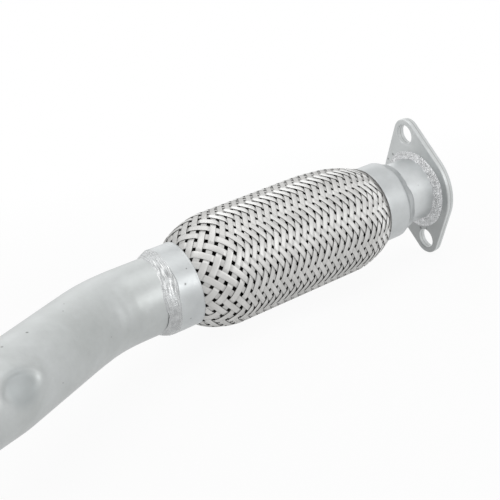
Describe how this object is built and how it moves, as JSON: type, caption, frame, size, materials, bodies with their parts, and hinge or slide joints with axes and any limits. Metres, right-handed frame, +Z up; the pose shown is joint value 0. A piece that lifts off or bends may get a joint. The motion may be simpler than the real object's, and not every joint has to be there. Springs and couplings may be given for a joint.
{
  "type": "exhaust_flex_pipe",
  "caption": "Exhaust flex pipe: bent steel pipe, woven stainless braid over bellows and liner, crimped collars, stub pipe and two-bolt flange, welded into one length.",
  "frame": {"origin": "middle of the underside of the part's bounding box, on the surface that it lies on", "axes": "+Z up, +X from the bent pipe's free end towards the flange, +Y away from the side to which the pipe bends"},
  "size_m": [0.4078, 0.1392, 0.105],
  "materials": {
    "pipe": "satin",
    "collar": "satin",
    "flange": "satin",
    "weld": "satin",
    "braid": "satin",
    "bellows": "satin"
  },
  "bodies": {
    "flex_section": {"outer_braid": "braid", "bellows": "bellows", "inner_liner": "bellows"},
    "rear_end": {"bent_pipe": "pipe", "rear_collar": "collar", "rear_collar_weld": "weld", "liner_rear_sleeve": "bellows"},
    "flange_end": {"flange": "flange", "flange_weld": "weld", "flange_stub": "pipe", "front_collar": "collar", "front_collar_weld": "weld", "liner_front_sleeve": "bellows"}
  },
  "joints": [
    {"name": "rear_bend", "type": "hinge", "parent": "flex_section", "child": "rear_end", "pos_m": [0.02949, 0.03, 0.04003], "axis": [0.0009, 0.9997, -0.0237], "range_deg": [-12, 12], "stiffness_Nm_per_rad": 40, "deforming": ["outer_braid", "bellows", "inner_liner"]},
    {"name": "flange_bend", "type": "hinge", "parent": "flex_section", "child": "flange_end", "pos_m": [0.10728, 0.03007, 0.04581], "axis": [-0.0741, 0.0237, 0.997], "range_deg": [-12, 12], "stiffness_Nm_per_rad": 40, "deforming": ["outer_braid", "bellows", "inner_liner"]}
  ]
}
